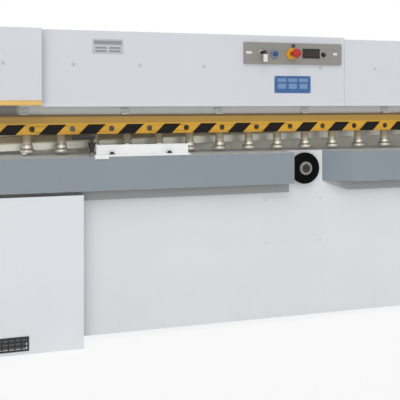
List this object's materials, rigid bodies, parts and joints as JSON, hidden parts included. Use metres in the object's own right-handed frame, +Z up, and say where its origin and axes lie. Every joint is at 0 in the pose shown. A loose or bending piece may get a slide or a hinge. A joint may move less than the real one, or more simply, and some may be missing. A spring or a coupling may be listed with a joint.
{
  "type": "hydraulic guillotine shear",
  "caption": "Long sheet-metal shear: raked upper knife on a hydraulic ram, hold-down pads behind a striped finger guard, split front table and screw-driven back gauge.",
  "frame": {"origin": "on the floor, at the middle of the machine's length and depth", "axes": "+X to the operator's right along the table, +Y into the machine, +Z up"},
  "size_m": [3.32, 1.52, 1.416],
  "materials": {
    "white_paint": "satin textured enamel",
    "frame_paint": "satin enamel on plate",
    "table_grey": "satin blue-grey enamel",
    "panel_grey": "satin grey enamel",
    "guard_yellow": "satin yellow enamel",
    "stripe_black": "matt tape",
    "steel": "ground",
    "dark_steel": "oiled black",
    "bronze": "machined",
    "black_plastic": "satin moulded",
    "dial": "satin",
    "blue_plastic": "gloss",
    "red_plastic": "gloss",
    "yellow_plastic": "gloss",
    "display_black": "gloss",
    "sign_blue": "printed sheet",
    "unit_grey": "satin enamel"
  },
  "bodies": {
    "machine": {"side_frame_left": "frame_paint", "side_frame_right": "frame_paint", "bed": "white_paint", "hold_down_beam": "panel_grey", "upper_crossbeam": "frame_paint", "rear_crossbeams": "frame_paint", "foot_plates": "dark_steel", "beam_cover_left": "white_paint", "beam_cover_right": "white_paint", "cover_screws": "steel", "housing_left": "white_paint", "housing_right": "white_paint", "housing_trims": "guard_yellow", "cabinet_left": "white_paint", "cabinet_right": "white_paint", "vent_grilles": "black_plastic", "access_panel": "white_paint", "table_left": "table_grey", "table_right": "table_grey", "table_rails": "panel_grey", "front_gauge_bar": "white_paint", "finger_guard": "guard_yellow", "guard_stripes": "stripe_black", "guard_brackets": "panel_grey", "lower_blade": "steel", "ram_guides": "bronze", "ram_cylinders": "dark_steel", "hold_down_cylinders": "dark_steel", "gauge_rails": "frame_paint", "gauge_bearings": "dark_steel", "control_panel": "panel_grey", "panel_bezels": "steel", "counter_display": "display_black", "emergency_stop_base": "yellow_plastic", "sign_plate": "sign_blue", "oil_tank": "unit_grey", "electric_motor": "unit_grey", "hydraulic_pump": "dark_steel", "valve_block": "dark_steel", "hydraulic_pipes": "steel", "switchgear": "black_plastic", "rear_chute": "frame_paint"},
    "ram": {"ram": "steel", "upper_blade": "steel", "ram_pistons": "steel"},
    "hold_downs": {"hold_down_plungers": "steel", "hold_down_pads": "steel"},
    "back_gauge": {"backgauge_bar": "steel", "backgauge_carriages": "bronze"},
    "screw_left": {"gauge_screw_left": "steel"},
    "screw_right": {"gauge_screw_right": "steel"},
    "cross_shaft": {"cross_shaft": "steel"},
    "handwheel": {"handwheel_shaft": "steel", "handwheel": "black_plastic", "handwheel_dial": "dial"},
    "clamp_lever": {"gauge_clamp_lever": "black_plastic"},
    "push_button": {"blue_button": "blue_plastic"},
    "emergency_stop": {"emergency_stop_head": "red_plastic"},
    "speed_knob": {"speed_knob": "black_plastic"},
    "mode_switch": {"mode_switch": "black_plastic"}
  },
  "joints": [
    {"name": "ram_stroke", "type": "slide", "parent": "machine", "child": "ram", "axis": [0, 0, -1], "range_m": [0, 0.1]},
    {"name": "hold_down_stroke", "type": "slide", "parent": "machine", "child": "hold_downs", "axis": [0, 0, -1], "range_m": [0, 0.0115], "stiffness_N_per_m": 200000, "springref_m": -0.005},
    {"name": "handwheel_turn", "type": "hinge", "parent": "machine", "child": "handwheel", "pos_m": [-0.026, -0.3, 0.764], "axis": [0, 1, 0], "range_deg": [-7200, 0]},
    {"name": "back_gauge_travel", "type": "slide", "parent": "machine", "child": "back_gauge", "axis": [0, 1, 0], "range_m": [0, 0.5]},
    {"name": "cross_shaft_turn", "type": "hinge", "parent": "machine", "child": "cross_shaft", "pos_m": [0, -0.3, 0.764], "axis": [1, 0, 0], "range_deg": [-7200, 0]},
    {"name": "screw_left_turn", "type": "hinge", "parent": "machine", "child": "screw_left", "pos_m": [-0.9, -0.3, 0.764], "axis": [0, 1, 0], "range_deg": [-7200, 0]},
    {"name": "screw_right_turn", "type": "hinge", "parent": "machine", "child": "screw_right", "pos_m": [0.9, -0.3, 0.764], "axis": [0, 1, 0], "range_deg": [-7200, 0]},
    {"name": "clamp_lever_swing", "type": "hinge", "parent": "machine", "child": "clamp_lever", "pos_m": [-1.096, -0.724, 0.8683], "axis": [0, 0, 1], "range_deg": [-5, 60]},
    {"name": "push_button_press", "type": "slide", "parent": "machine", "child": "push_button", "axis": [0, 1, 0], "range_m": [0, 0.0025], "stiffness_N_per_m": 400, "springref_m": -0.002},
    {"name": "emergency_stop_press", "type": "slide", "parent": "machine", "child": "emergency_stop", "axis": [0, 1, 0], "range_m": [0, 0.0025]},
    {"name": "speed_knob_turn", "type": "hinge", "parent": "machine", "child": "speed_knob", "pos_m": [0.064, -0.697, 1.327], "axis": [0, 1, 0], "range_deg": [-135, 135]},
    {"name": "mode_switch_turn", "type": "hinge", "parent": "machine", "child": "mode_switch", "pos_m": [-0.27, -0.697, 1.331], "axis": [0, 1, 0], "range_deg": [0, 90]}
  ],
  "couplings": [
    {"joint": "handwheel_turn", "follows": "back_gauge_travel", "rad_per_m": -251.33},
    {"joint": "cross_shaft_turn", "follows": "back_gauge_travel", "rad_per_m": -251.33},
    {"joint": "screw_left_turn", "follows": "back_gauge_travel", "rad_per_m": -251.33},
    {"joint": "screw_right_turn", "follows": "back_gauge_travel", "rad_per_m": -251.33}
  ]
}
